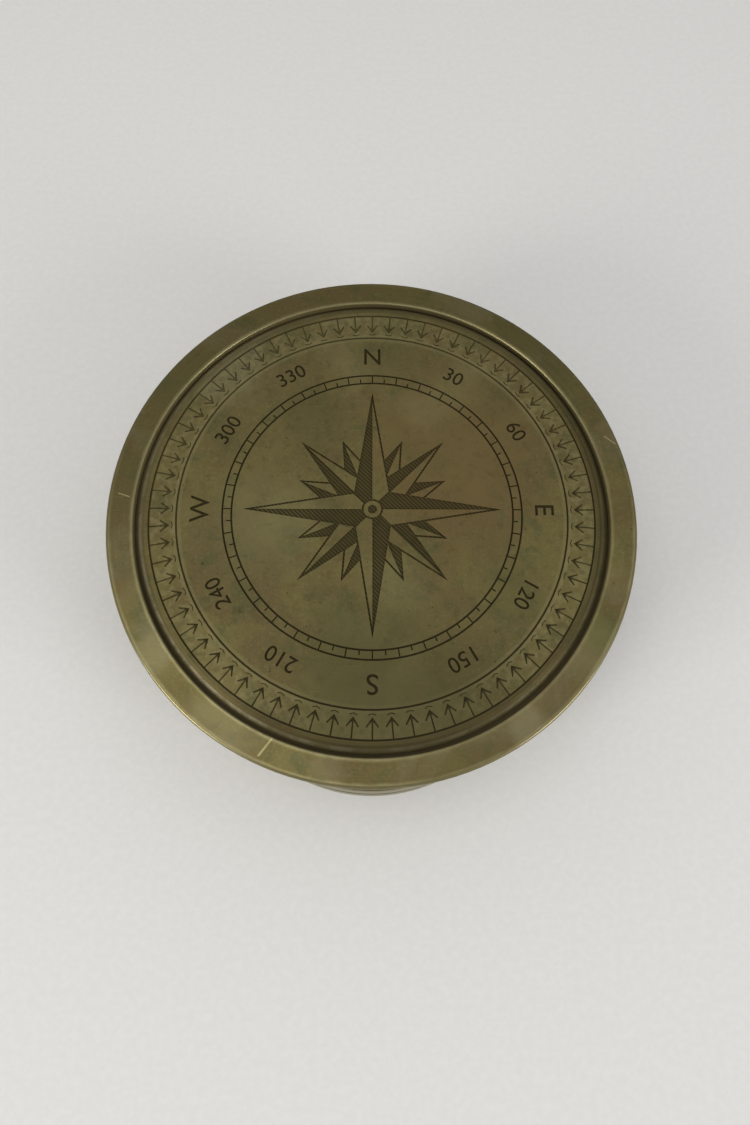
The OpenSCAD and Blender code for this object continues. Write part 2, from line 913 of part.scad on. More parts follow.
// Lid shell: side wall, plain ring and the ledge under the plate
module lid_rim() {
    color(brass)
        difference() {
            rotate_extrude($fn = 160)
                difference() {
                    union() {
                        translate([lid_in_r, lid_z])
                            square([lid_wall, top_z - lid_z]);
                        translate([pocket_r - ledge_w, ledge_z])
                            square([ledge_w + past, ledge_t]);
                        translate([pocket_r, ledge_z])
                            square([rim_w, top_z - ledge_z]);
                    }
                    translate([lid_r, top_z])
                        quarter_waste(lid_edge);
                    translate([lid_r, lid_z])
                        mirror([0, 1])
                            chamfer_waste(seam_edge);
                    translate([pocket_r, top_z])
                        mirror([1, 0])
                            quarter_waste(rim_edge);
                    translate([pocket_r - ledge_w - past, plate_z])
                        square([ledge_w + past, lid_h]);
                }
            hinge_notch(case_h - past, past + lid_leaf_h + 2 * face_gap);
            flush_holes(leaf_out, lid_screw_z, lid_screw_len);
            lip_seat(case_h - past, past + seam + lip_t, lip_out);
        }
}

// One border arrow, its tip at the origin and its stem along +X
module arrow_plan() {
    half = [
        [0, 0],
        [head_len, head_half],
        [barb_len, barb_half],
        [barb_len + barb_t, barb_half - barb_t],
        [head_len + 2 * barb_t, head_half - barb_t],
        [head_len + barb_t, stem_half],
        [arrow_len, stem_half]
    ];
    other = [for (i = [len(half) - 1 : -1 : 1]) [half[i][0], -half[i][1]]];
    polygon(concat(half, other));
}

// Short bent line between an arrow's tip and the border's inner line
module arc_plan() {
    polygon([
        [0, 0],
        [arc_bend, arc_half],
        [arc_bend + barb_t, arc_half],
        [barb_t, 0],
        [arc_bend + barb_t, -arc_half],
        [arc_bend, -arc_half]
    ]);
}

// Half of a rose point: the centre, the tip and the waist, which lies at an angle from the point's axis
module rose_half(length, waist, turn, side) {
    polygon([[0, 0], [length, 0], waist * [cos(turn), side * sin(turn)]]);
}

// One point of the rose, cut away on one side of its axis and outlined on the other
module rose_point(length, waist, turn) {
    tip_turn = atan2(waist * sin(turn), length - waist * cos(turn));
    shrink = 1 - line_w * (1 / sin(turn) + 1 / sin(tip_turn)) / length;
    rose_half(length, waist, turn, 1);
    difference() {
        rose_half(length, waist, turn, -1);
        translate([line_w / sin(turn), 0])
            rose_half(shrink * length, shrink * waist, turn, -1);
    }
}

// Star of equal rose points, or the whole area that they cover
module rose_star(count, first, length, waist, area = false) {
    turn = 180 / count;
    for (k = [0 : count - 1])
        rotate(first + 2 * turn * k)
            if (area)
                for (side = [-1, 1])
                    rose_half(length, waist, turn, side);
            else
                rose_point(length, waist, turn);
}

// The four quarters
module rose_quarters(area = false) {
    rose_star(4, 0, rose_r, quarter_waist, area);
}

// The four points between the quarters
module rose_half_quarters(area = false) {
    rose_star(4, 45, half_quarter_len, half_quarter_waist, area);
}

// Wind rose with sixteen points in three layers round a hub
module rose_plan() {
    difference() {
        union() {
            rose_quarters();
            difference() {
                rose_half_quarters();
                rose_quarters(area = true);
            }
            difference() {
                rose_star(8, 22.5, minor_len, minor_waist);
                rose_quarters(area = true);
                rose_half_quarters(area = true);
            }
        }
        circle(rose_hub_r);
    }
    difference() {
        circle(rose_hub_r + line_w / 2);
        circle(rose_hub_r - line_w / 2);
    }
    circle(rose_dot_r);
}

// Marks of the degree scale, long and short in turn
module scale_plan() {
    for (k = [0 : mark_count - 1])
        rotate(360 * k / mark_count)
            translate([rose_ring_r, -mark_half])
                square([k % 2 == 0 ? scale_w : short_mark, 2 * mark_half]);
}

// Engraved circle
module circle_cut(r) {
    tube(plate_top - engrave, engrave + past, r - line_w / 2, r + line_w / 2);
}

// Everything that is cut into the plate's face
module plate_engraving() {
    circle_cut(border_out_r);
    circle_cut(border_in_r);
    circle_cut(rose_ring_r);
    circle_cut(rose_ring_r + scale_w);
    translate([0, 0, plate_top - engrave])
        rotate([0, 0, 90])
            linear_extrude(engrave + past) {
                for (k = [0 : arrow_count - 1])
                    rotate(360 * k / arrow_count) {
                        translate([border_in_r + arrow_gap, 0])
                            arrow_plan();
                        translate([border_in_r + arc_in, 0])
                            arc_plan();
                    }
                scale_plan();
                rose_plan();
            }
}

// Engraved plate let into the lid, with a sloping edge
module lid_plate() {
    color(brass)
        difference() {
            union() {
                disc(plate_z, plate_t - bevel_h, plate_r);
                translate([0, 0, plate_top - bevel_h])
                    cylinder(r1 = plate_r, r2 = plate_r - bevel_w, h = bevel_h, $fn = 160);
            }
            plate_engraving();
        }
}

// Lining disc pressed into the lid from below
module lid_liner() {
    color(bright_brass)
        disc(liner_z, liner_t, lid_in_r - fixed_fit);
}

// Leaf screwed to the lid, with the middle knuckle
module lid_hinge_leaf() {
    color(brass)
        difference() {
            union() {
                translate([-hinge_w / 2, leaf_in, case_h + face_gap + seam])
                    cube([hinge_w, leaf_t, lid_leaf_h]);
                knuckle(0, mid_knuckle_w, 1);
            }
            hinge_bore(pin_r + run_fit);
            flush_holes(leaf_out, lid_screw_z, lid_screw_len);
            for (side = [-1, 1])
                translate([side * (hinge_w + mid_knuckle_w + 2 * face_gap) / 4, pin_y, case_h])
                    rotate([0, 90, 0])
                        cylinder(r = knuckle_r + face_gap, h = outer_knuckle_w() + 2 * face_gap, center = true);
        }
}

// Screws that hold the leaf to the lid
module lid_hinge_screws() {
    color(bright_brass)
        flush_screws(leaf_out, lid_screw_z, lid_screw_len, lid_slot_turn);
}

// Lip let into the lid's lower edge
module thumb_lip() {
    color(brass)
        translate([0, 0, lid_z])
            difference() {
                linear_extrude(lip_t - fixed_fit)
                    lip_plan(lip_out);
                translate([0, lip_arc_r - lid_r - lip_out, lip_t - fixed_fit - lip_cham])
                    lip_chamfer();
            }
}

case_body();
case_lip();
case_hinge_leaf();
case_hinge_screws();
hinge_pin();
dial_card();
degree_ring();
ring_screws();
glass_seal();
crystal();
spring_ring();
pivot_post();
pivot_point();
lever_bracket();
bracket_screws();
lever_axle();
lever_spring();
spring_screw();
arrest_lever();
lift_collar();
arrest_plunger();
needle();
needle_cap();
cap_jewel();
balance_weight();
lid_rim();
lid_plate();
lid_liner();
lid_hinge_leaf();
lid_hinge_screws();
thumb_lip();
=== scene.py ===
"""Looks of a magnetic compass with a hinged brass lid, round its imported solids.

Lengths are metres in the solids' own frame: +Z up, the foot on z = 0, the hinge on the +Y side.
"""

import json
import math

import bmesh
import bpy
from mathutils import Matrix, Vector


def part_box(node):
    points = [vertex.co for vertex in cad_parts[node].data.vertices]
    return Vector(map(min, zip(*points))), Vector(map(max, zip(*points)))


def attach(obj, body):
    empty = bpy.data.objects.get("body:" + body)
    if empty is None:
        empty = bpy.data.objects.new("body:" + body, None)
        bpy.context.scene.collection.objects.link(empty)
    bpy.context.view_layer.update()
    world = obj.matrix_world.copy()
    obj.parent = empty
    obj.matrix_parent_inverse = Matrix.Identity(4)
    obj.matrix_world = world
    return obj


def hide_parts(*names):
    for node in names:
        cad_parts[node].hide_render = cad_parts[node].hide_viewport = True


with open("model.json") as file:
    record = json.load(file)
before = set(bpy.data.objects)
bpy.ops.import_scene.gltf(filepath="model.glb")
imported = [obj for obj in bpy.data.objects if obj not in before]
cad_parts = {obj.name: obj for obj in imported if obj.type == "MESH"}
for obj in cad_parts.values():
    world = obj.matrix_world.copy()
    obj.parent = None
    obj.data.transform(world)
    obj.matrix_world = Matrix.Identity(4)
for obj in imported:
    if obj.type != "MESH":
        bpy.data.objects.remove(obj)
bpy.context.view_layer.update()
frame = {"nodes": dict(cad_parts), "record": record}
nodes = frame["nodes"]
MM = 0.001

# Places taken from the solids
lid_low, lid_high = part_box("lid_rim")
lid_r = lid_high.x
lid_top = lid_high.z
plate_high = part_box("lid_plate")[1]
plate_r = plate_high.x
plate_top = plate_high.z
card_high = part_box("dial_card")[1]
card_r = card_high.x
card_top = card_high.z
ring_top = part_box("degree_ring")[1].z

# Sizes on the lid's face and on the dial, as built in the solids
RIM_W = 3.9 * MM
BEVEL_W = 1.1 * MM
BORDER_OUT = 31.95 * MM
BORDER_IN = 28.05 * MM
ARROWS = 72
ARROW_HEAD_R = 29.3 * MM
ARROW_TAIL_R = 30.8 * MM
LIP_ARC_R = 22.5 * MM
JOINT_Z = 20 * MM
WALL_R = 38 * MM
DIAL_RING_W = 3.8 * MM
RING_SLOPE = 0.8 * MM
CARD_HOLE = 3.6 * MM

# The photograph's camera, fitted to the lid's circles and border
PHOTO_W, PHOTO_H = 750, 1125
CAMERA_BACK = 114.15 * MM
CAMERA_TILT = math.radians(19.05)
CAMERA_TURN = math.radians(-1.92)
FOCAL_PX = 796.2
AXIS_PX = (372.4, 508.7)
SENSOR = 36
CLIP = (0.005, 20)


def make_camera():
    """Camera at the photograph's place, aimed at the middle of the lid."""
    back = Vector((
        math.sin(CAMERA_TILT) * math.sin(CAMERA_TURN),
        -math.sin(CAMERA_TILT) * math.cos(CAMERA_TURN),
        math.cos(CAMERA_TILT),
    ))
    data = bpy.data.cameras.new("camera")
    data.sensor_width = SENSOR
    data.lens = FOCAL_PX / PHOTO_H * SENSOR
    data.shift_x = (PHOTO_W / 2 - AXIS_PX[0]) / PHOTO_H
    data.shift_y = -(PHOTO_H / 2 - AXIS_PX[1]) / PHOTO_H
    data.clip_start, data.clip_end = CLIP
    camera = bpy.data.objects.new("camera", data)
    bpy.context.scene.collection.objects.link(camera)
    camera.location = Vector((0, 0, lid_top)) + back * CAMERA_BACK
    right = Vector((0, 1, 0)).cross(back).normalized()
    camera.rotation_euler = Matrix((right, back.cross(right), back)).transposed().to_euler()
    bpy.context.scene.camera = camera


class Surface:
    """One procedural material. Each method adds nodes and returns an output."""

    def __init__(self, name):
        self.material = bpy.data.materials.new(name)
        self.material.use_nodes = True
        self.tree = self.material.node_tree
        self.shader = self.tree.nodes["Principled BSDF"]
        self.place = self.add("ShaderNodeTexCoord").outputs["Object"]
        self.x, self.y, self.z = self.split(self.place)
        self.radius = self.vector("LENGTH", self.level(self.place))

    def add(self, kind, **settings):
        """A new node with its settings."""
        node = self.tree.nodes.new(kind)
        for key, value in settings.items():
            setattr(node, key, value)
        return node

    def feed(self, socket, value):
        """Links an output to a socket, or sets a plain value or colour on it."""
        if isinstance(value, bpy.types.NodeSocket):
            self.tree.links.new(value, socket)
        elif socket.type == "RGBA":
            socket.default_value = (*value, 1)
        else:
            socket.default_value = value

    def math(self, operation, *values):
        node = self.add("ShaderNodeMath", operation=operation)
        for socket, value in zip(node.inputs, values):
            self.feed(socket, value)
        return node.outputs[0]

    def times(self, a, b):
        """Product; of two masks it is their overlap."""
        return self.math("MULTIPLY", a, b)

    def plus(self, a, b):
        return self.math("ADD", a, b)

    def minus(self, a, b):
        return self.math("SUBTRACT", a, b)

    def most(self, first, *others):
        """Greatest of several values."""
        for other in others:
            first = self.math("MAXIMUM", first, other)
        return first

    def without(self, mask, other):
        """A mask with another one taken out of it."""
        return self.times(mask, self.minus(1.0, other))

    def vector(self, operation, *values):
        node = self.add("ShaderNodeVectorMath", operation=operation)
        for socket, value in zip(node.inputs, values):
            self.feed(socket, value)
        return node.outputs["Value" if operation == "LENGTH" else "Vector"]

    def split(self, vector):
        node = self.add("ShaderNodeSeparateXYZ")
        self.feed(node.inputs[0], vector)
        return node.outputs

    def join(self, x, y, z):
        node = self.add("ShaderNodeCombineXYZ")
        for socket, value in zip(node.inputs, (x, y, z)):
            self.feed(socket, value)
        return node.outputs[0]

    def level(self, vector):
        """A vector without its height."""
        return self.vector("MULTIPLY", vector, (1, 1, 0))

    def away_from(self, x, y):
        """Level distance from a place."""
        return self.vector("LENGTH", self.level(self.vector("SUBTRACT", self.place, (x, y, 0))))

    def towards(self, x, y):
        """Distance towards one side of the lid: (-1, 1) is the back left."""
        return self.plus(self.times(self.x, x), self.times(self.y, y))

    def noise(self, scale, detail=3.0, rough=0.55, warp=0.0, vector=None):
        """Cloudy pattern from 0 to 1; scale is in repeats to a metre."""
        node = self.add("ShaderNodeTexNoise")
        self.feed(node.inputs["Vector"], self.place if vector is None else vector)
        node.inputs["Scale"].default_value = scale
        node.inputs["Detail"].default_value = detail
        node.inputs["Roughness"].default_value = rough
        node.inputs["Distortion"].default_value = warp
        return node.outputs["Fac"]

    def step(self, value, low, high, start=0.0, end=1.0):
        """Smooth step from start at low to end at high."""
        node = self.add("ShaderNodeMapRange", interpolation_type="SMOOTHSTEP")
        for name, given in (("Value", value), ("From Min", low), ("From Max", high)):
            self.feed(node.inputs[name], given)
        node.inputs["To Min"].default_value = start
        node.inputs["To Max"].default_value = end
        return node.outputs["Result"]

    def near(self, value, centre, half, soft):
        """1 where value lies within half of centre, fading out over soft."""
        away = self.math("ABSOLUTE", self.minus(value, centre))
        return self.step(away, half, half + soft, 1.0, 0.0)

    def mix(self, share, a, b):
        """Colour a, or b where share is 1."""
        node = self.add("ShaderNodeMix", data_type="RGBA")
        self.feed(node.inputs["Factor"], share)
        self.feed(node.inputs[6], a)
        self.feed(node.inputs[7], b)
        return node.outputs[2]

    def blend(self, share, a, b):
        """Number a, or b where share is 1."""
        node = self.add("ShaderNodeMix", data_type="FLOAT")
        for socket, value in zip(node.inputs[0:1] + node.inputs[2:4], (share, a, b)):
            self.feed(socket, value)
        return node.outputs[0]

    def tinted(self, colour, *layers):
        """A colour with layers laid over it in turn, each a share and a tint."""
        for share, tint in layers:
            colour = self.mix(share, colour, tint)
        return colour

    def stained(self, colour, stains):
        """A colour with soft, ragged stains at places on the lid's face."""
        ragged = self.minus(self.noise(130, 4.0, 0.6, 0.5), 0.5)
        for x, y, size, share, tint in stains:
            size *= MM
            edge = self.plus(self.away_from(x * MM, y * MM), self.times(ragged, 1.6 * size))
            colour = self.mix(self.step(edge, size, 0.3 * size, end=share), colour, tint)
        return colour

    def turned(self, rounds, per_mm, warp=0.0):
        """Lathe marks: long round the axis, short along the radius and the height."""
        round_x, round_y, _ = self.split(self.vector("NORMALIZE", self.level(self.place)))
        across = self.times(self.plus(self.radius, self.z), per_mm / MM)
        coords = self.join(self.times(round_x, rounds), self.times(round_y, rounds), across)
        return self.noise(1.0, 3.0, 0.6, warp, coords)

    def hairs(self, sets):
        """Fine straight scratches, one set to a direction."""
        masks = []
        for degrees, length, spacing, bare in sets:
            node = self.add("ShaderNodeMapping")
            self.feed(node.inputs["Vector"], self.place)
            node.inputs["Rotation"].default_value = (0, 0, math.radians(degrees))
            along, across = 1 / (length * MM), 1 / (spacing * MM)
            node.inputs["Scale"].default_value = (along, across, along)
            lines = self.noise(1.0, 2.0, 0.4, 0.15, node.outputs[0])
            masks.append(self.step(lines, bare, bare + 0.03))
        return self.most(*masks)

    def nicks(self, marks):
        """Single short marks at places on the lid's face."""
        masks = []
        for x, y, degrees, length, width in marks:
            turn = math.radians(degrees)
            dx = self.minus(self.x, x * MM)
            dy = self.minus(self.y, y * MM)
            along = self.plus(self.times(dx, math.cos(turn)), self.times(dy, math.sin(turn)))
            across = self.minus(self.times(dy, math.cos(turn)), self.times(dx, math.sin(turn)))
            half_length, half_width = length / 2 * MM, width / 2 * MM
            within = self.near(along, 0.0, half_length - width * MM, width * MM)
            masks.append(self.times(within, self.near(across, 0.0, half_width, half_width)))
        return self.most(*masks)

    def finish(self, colour, roughness, metallic=0.0, height=None, depth=0.02 * MM, **fixed):
        """Feeds the shader. Names in fixed are the shader's own sockets, spelt with underscores."""
        self.feed(self.shader.inputs["Base Color"], colour)
        self.feed(self.shader.inputs["Roughness"], roughness)
        self.feed(self.shader.inputs["Metallic"], metallic)
        for name, value in fixed.items():
            self.feed(self.shader.inputs[name.replace("_", " ")], value)
        if height is not None:
            bump = self.add("ShaderNodeBump")
            bump.inputs["Strength"].default_value = 1.0
            bump.inputs["Distance"].default_value = depth
            self.feed(bump.inputs["Height"], height)
            self.feed(self.shader.inputs["Normal"], bump.outputs[0])
        return self.material


# Colours of aged brass
OLIVE = (0.148, 0.123, 0.045)
BROWN = (0.138, 0.107, 0.043)
GREEN = (0.100, 0.098, 0.038)
PALE = (0.240, 0.211, 0.098)
DARK = (0.030, 0.023, 0.008)
# Grime; on the plate's slope at the front it also stands in as painted shade
GRIME_AND_SHADE = (0.062, 0.046, 0.017)
# Worn brass; on the lid rim's edges it also stands in as painted highlight
WORN_AND_HIGHLIGHT = (0.370, 0.330, 0.175)
BRIGHT = (0.420, 0.365, 0.190)
SMEAR = (0.190, 0.168, 0.100)
TARNISH = (0.070, 0.062, 0.023)
# Rubbed brass, also painted highlight on the left of the plate's slope
RUB_AND_HIGHLIGHT = (0.300, 0.264, 0.180)
WALL_DIRT = (0.088, 0.064, 0.022)
# Paler wall grime, a painted highlight used at the back left
WALL_DIRT_PAINTED_LIGHT = (0.200, 0.152, 0.062)
LIP_RUBBED = (0.235, 0.212, 0.125)
# Worn brass with painted highlight, for the lips' chamfers
LIP_WEAR_AND_HIGHLIGHT = (0.50, 0.465, 0.36)

# How strong the colours are on the ring and on the plate, where the case's wall is 1
RING_TONE = 0.84
PLATE_TONE = 0.98

# Stains on the ring and on the plate: x, y and size in millimetres, share and colour
RING_STAINS = (
    (25, 25, 12, 0.5, (0.088, 0.080, 0.031)),
    (-28, 22, 11, 0.3, (0.092, 0.082, 0.032)),
    (-36, 4, 9, 0.4, (0.098, 0.082, 0.034)),
    (-20, -30, 7, 0.3, (0.220, 0.200, 0.110)),
    (9, -36, 7, 0.3, (0.108, 0.088, 0.036)),
    (30, -21, 6, 0.35, (0.195, 0.172, 0.092)),
    (31, -18, 4, 0.65, (0.102, 0.104, 0.038)),
    (24.5, -26.5, 4, 0.65, (0.112, 0.084, 0.038)),
    (20, -30.5, 4, 0.6, (0.215, 0.190, 0.105)),
    (14.5, -33, 3.5, 0.6, (0.108, 0.086, 0.038)),
    (-35, -11, 4, 0.65, (0.118, 0.084, 0.034)),
    (-30, -21.5, 4, 0.4, (0.225, 0.210, 0.110)),
    (-6, -35, 3.5, 0.4, (0.185, 0.163, 0.092)),
)
PLATE_STAINS = (
    (13, 9, 19, 0.7, (0.156, 0.108, 0.043)),
    (-15, -3, 11, 0.35, (0.165, 0.152, 0.066)),
    (-3, -21, 11, 0.5, (0.078, 0.076, 0.028)),
    (-9, 13, 7, 0.4, (0.092, 0.078, 0.030)),
    (3, -10, 6, 0.35, (0.190, 0.176, 0.082)),
    (19, -12, 8, 0.35, (0.100, 0.092, 0.035)),
    (-22, 23, 9, 0.45, (0.215, 0.195, 0.105)),
    (2, 25, 6, 0.3, (0.100, 0.088, 0.034)),
    (19, 19, 6, 0.3, (0.098, 0.080, 0.032)),
)

# Nicks on the ring: x and y in millimetres, direction in degrees, length and width in millimetres
RING_NICKS = (
    (-13.93, -32.77, -128, 3.1, 0.2),
    (-35.7, 1.95, -18, 1.9, 0.1),
    (35.2, 10.9, -38, 2.1, 0.09),
)

# Hair scratches: direction in degrees, length and spacing in millimetres, share left bare
RING_HAIRS = ((24, 9, 0.11, 0.735), (-58, 7, 0.12, 0.74))
PLATE_HAIRS = ((12, 8, 0.1, 0.74), (71, 11, 0.11, 0.745))
GLASS_HAIRS = ((33, 10, 0.12, 0.76), (-20, 14, 0.1, 0.765))


def patina(s, tone=1.0):
    """Colour and height of brass that has gone olive, brown and green in clouds."""
    olive, brown, green, pale, dark = (
        tuple(tone * part for part in colour) for colour in (OLIVE, BROWN, GREEN, PALE, DARK)
    )
    clouds = s.noise(95, 3.0, 0.55, 0.4)
    blots = s.noise(240, 4.0, 0.6, 0.8)
    grain = s.noise(2300, 4.0, 0.65)
    specks = s.step(s.noise(1500, 2.0, 0.5), 0.70, 0.76)
    colour = s.tinted(
        s.mix(s.step(clouds, 0.40, 0.62), olive, brown),
        (s.step(blots, 0.49, 0.68, end=0.85), green),
        (s.step(grain, 0.48, 0.75, end=0.35), pale),
        (s.times(specks, 0.6), dark),
    )
    height = s.minus(s.times(grain, 0.35), specks)
    return colour, height, clouds


def ring_wear(s, on_top):
    """Where the lid's rim is rubbed bright: both edges of its face, and its lower edge. On the face's
    edges this is partly painted highlight: strongest at the front on the outer edge, weaker at the
    front right on the inner edge.
    """
    inner_r = lid_r - RIM_W
    frayed = s.plus(s.radius, s.times(s.minus(s.noise(420, 3.0, 0.55), 0.5), 0.5 * MM))
    outer = s.step(frayed, lid_r - 0.85 * MM, lid_r - 0.3 * MM, end=0.7)
    # painted highlight: the outer edge's brightening is strongest at the front
    outer = s.times(outer, s.step(s.y, 22 * MM, -14 * MM, 0.1, 1.0))
    inner = s.step(frayed, inner_r + 0.7 * MM, inner_r + 0.12 * MM, end=0.8)
    # painted highlight: the inner edge's brightening is weaker at the front right
    inner = s.times(inner, s.step(s.towards(1, -0.5), 34 * MM, 14 * MM, 0.5, 1.0))
    foot = s.step(s.z, lid_low.z + 0.5 * MM, lid_low.z + 0.15 * MM)
    return s.most(s.times(outer, on_top), s.times(inner, on_top), foot)


def groove_wall(s):
    """Mask and colour of the grime on the rim's inner wall, with painted highlight making it paler at
    the back left.
    """
    inner_r = lid_r - RIM_W
    on_wall = s.step(s.radius, inner_r + 0.3 * MM, inner_r + 0.02 * MM)
    below_edge = s.step(s.z, lid_top - 0.12 * MM, lid_top - 0.4 * MM)
    # painted highlight: the wall's grime turns paler towards the back left
    back_left = s.step(s.towards(-1, 0.7), 18 * MM, 42 * MM)
    return s.times(on_wall, below_edge), s.mix(back_left, WALL_DIRT, WALL_DIRT_PAINTED_LIGHT)


def lid_brass():
    """The lid's rim: soft brown and olive clouds, worn bright along its edges with painted highlight,
    and grime on its inner wall that painted highlight makes paler at the back left.
    """
    s = Surface("lid_brass")
    colour, height, clouds = patina(s, RING_TONE)
    lines = s.turned(2.2, 4.0)
    on_top = s.step(s.z, lid_top - 0.6 * MM, lid_top - 0.3 * MM)
    wear_and_highlight = ring_wear(s, on_top)
    nicks = s.times(s.nicks(RING_NICKS), on_top)
    hair = s.hairs(RING_HAIRS)
    deep, dirt_and_highlight = groove_wall(s)
    colour = s.tinted(
        s.stained(colour, RING_STAINS),
        (s.step(lines, 0.4, 0.7, end=0.07), PALE),
        (s.step(s.noise(75, 4.0, 0.6, 1.2), 0.45, 0.7, end=0.35), SMEAR),
        # worn edges, partly painted highlight
        (s.times(wear_and_highlight, 0.55), WORN_AND_HIGHLIGHT),
        (s.times(hair, 0.3), PALE),
        (s.times(nicks, 0.6), BRIGHT),
        # grime on the inner wall, paler at the back left by painted highlight
        (s.times(deep, 0.9), dirt_and_highlight),
    )
    rough = s.blend(wear_and_highlight, s.step(clouds, 0.35, 0.65, 0.33, 0.42), 0.28)
    rough = s.blend(deep, rough, 0.75)
    height = s.plus(height, s.times(lines, 0.25))
    height = s.minus(height, s.plus(s.times(nicks, 2.0), s.times(hair, 0.7)))
    return s.finish(colour, rough, s.blend(deep, 0.9, 0.3), height, 0.006 * MM)


# Hatching of the rose's cut halves: spacing, and the radius that it stays within
HATCH = 0.62 * MM
HATCHED_R = 17 * MM

# Middle of the tarnished patch, and how far the clouds push its edge out
TARNISH_AT = (5 * MM, -34 * MM, plate_top)
TARNISH_RAGGED = 9 * MM


def rose_hatching(s, cut):
    """Fine slanting lines on the floor of the rose's cut halves."""
    lines = s.step(s.math("SINE", s.times(s.towards(1, 1), 2 * math.pi / HATCH)), -0.3, 0.6)
    return s.times(lines, s.times(cut, s.step(s.radius, HATCHED_R + 0.2 * MM, HATCHED_R)))


def plate_face(s, colour, clouds, mottle, pits, on_flat, border):
    """Colour of the plate's flat face."""
    beside = s.near(s.radius, BORDER_IN, 0.4 * MM, 0.35 * MM)
    margin = s.near(s.radius, BORDER_OUT + 0.6 * MM, 0.3 * MM, 0.3 * MM)
    margin = s.times(margin, s.step(s.towards(-1, 1), 25 * MM, -25 * MM, 0.12, 0.6))
    rubbed = s.times(s.step(s.noise(60, 3.0, 0.5, 0.5), 0.5, 0.72), on_flat)
    from_patch = s.vector("LENGTH", s.vector("SUBTRACT", s.place, TARNISH_AT))
    tarnish = s.step(s.plus(from_patch, s.times(clouds, TARNISH_RAGGED)), 29 * MM, 12 * MM)
    wave = s.math("COSINE", s.times(s.math("ARCTAN2", s.y, s.x), ARROWS))
    between = s.times(s.step(wave, -0.55, -0.95), s.near(s.radius, ARROW_TAIL_R, 0.1 * MM, 0.5 * MM))
    return s.tinted(
        s.stained(colour, PLATE_STAINS),
        (s.times(pits, 0.35), GRIME_AND_SHADE),
        (s.times(border, s.step(mottle, 0.4, 0.7, end=0.5)), PALE),
        (s.times(beside, 0.3), PALE),
        (s.times(rubbed, 0.3), PALE),
        (s.times(tarnish, 0.65), TARNISH),
        (margin, GRIME_AND_SHADE),
        (s.times(between, s.step(mottle, 0.35, 0.7, end=0.4)), DARK),
    )


def plate_slope(s, colour, mottle, back_left):
    """Colour of the plate's sloping edge, with painted shade at the front and painted highlight at the
    back left, a rubbed band that is partly painted highlight on the left, and the mask of grime along
    its foot.
    """
    slope = s.step(s.radius, plate_r - BEVEL_W, plate_r - BEVEL_W + 0.1 * MM)
    rubbed = s.near(s.radius, plate_r - 0.48 * MM, 0.14 * MM, 0.2 * MM)
    # partly painted highlight: the rubbed band is paler on the left
    rubbed = s.times(rubbed, s.step(s.x, 0.0, -20 * MM, 0.18, 0.62))
    rubbed = s.times(rubbed, s.step(s.noise(330, 4.0, 0.65, 0.4), 0.4, 0.62, 0.3, 1.0))
    frayed = s.plus(s.radius, s.times(s.minus(mottle, 0.5), 0.4 * MM))
    grime = s.step(frayed, plate_r - 0.16 * MM, plate_r + 0.02 * MM, end=0.6)
    colour = s.tinted(
        colour,
        # painted shade: the slope is darker towards the front
        (s.times(slope, s.step(s.y, -2 * MM, -20 * MM, end=0.38)), GRIME_AND_SHADE),
        # painted highlight: the slope is paler towards the back left
        (s.times(slope, s.step(back_left, 0.0, 25 * MM, end=0.45)), PALE),
        (rubbed, RUB_AND_HIGHLIGHT),
        (grime, GRIME_AND_SHADE),
    )
    return colour, grime


def cut_filling(s, border, hatch, back_left):
    """How dark the cuts are: patchy in the border, lighter outwards from its inner line, most towards
    the back left.
    """
    filled = s.step(s.noise(210, 3.0, 0.6), 0.36, 0.6, 0.35, 0.72)
    heads = s.near(s.radius, ARROW_HEAD_R, 0.2 * MM, 0.2 * MM)
    filled = s.blend(heads, s.times(filled, 0.85), 0.95)
    filled = s.blend(border, 0.9, filled)
    outwards = s.step(s.radius, BORDER_IN - 0.6 * MM, BORDER_IN - 0.4 * MM)
    lightened = s.times(outwards, s.step(back_left, -12 * MM, 30 * MM, 0.09, 0.42))
    filled = s.without(filled, lightened)
    return s.without(filled, s.times(hatch, 0.4))


def plate_brass():
    """The engraved plate: duller, with grime in the cuts and a tarnished patch at the front."""
    s = Surface("plate_brass")
    colour, height, clouds = patina(s, PLATE_TONE)
    flat_r = plate_r - BEVEL_W
    on_flat = s.step(s.radius, flat_r + 0.02 * MM, flat_r - 0.02 * MM)
    cut = s.times(s.step(s.z, plate_top - 0.01 * MM, plate_top - 0.05 * MM), on_flat)
    middle = (BORDER_OUT + BORDER_IN) / 2
    half = (BORDER_OUT - BORDER_IN) / 2
    border = s.near(s.radius, middle, half - 0.3 * MM, 0.15 * MM)
    back_left = s.towards(-0.4, 1)
    mottle = s.noise(900, 3.0, 0.6)
    pits = s.step(s.noise(650, 4.0, 0.7, 0.3), 0.5, 0.72)
    hatch = rose_hatching(s, cut)
    hair = s.without(s.hairs(PLATE_HAIRS), cut)
    colour = plate_face(s, colour, clouds, mottle, pits, on_flat, border)
    colour, grime = plate_slope(s, colour, mottle, back_left)
    filled = s.times(cut, cut_filling(s, border, hatch, back_left))
    colour = s.tinted(colour, (filled, DARK), (s.times(hair, 0.3), PALE))
    dull = s.most(cut, grime)
    rough = s.blend(dull, s.step(clouds, 0.35, 0.65, 0.5, 0.58), 0.75)
    metallic = s.blend(dull, 0.82, 0.35)
    shine = s.blend(dull, 0.5, 0.1)
    height = s.minus(height, s.plus(s.times(hair, 0.7), s.times(pits, 0.8)))
    height = s.plus(height, s.times(hatch, 1.2))
    return s.finish(colour, rough, metallic, height, 0.007 * MM, Specular_IOR_Level=shine)


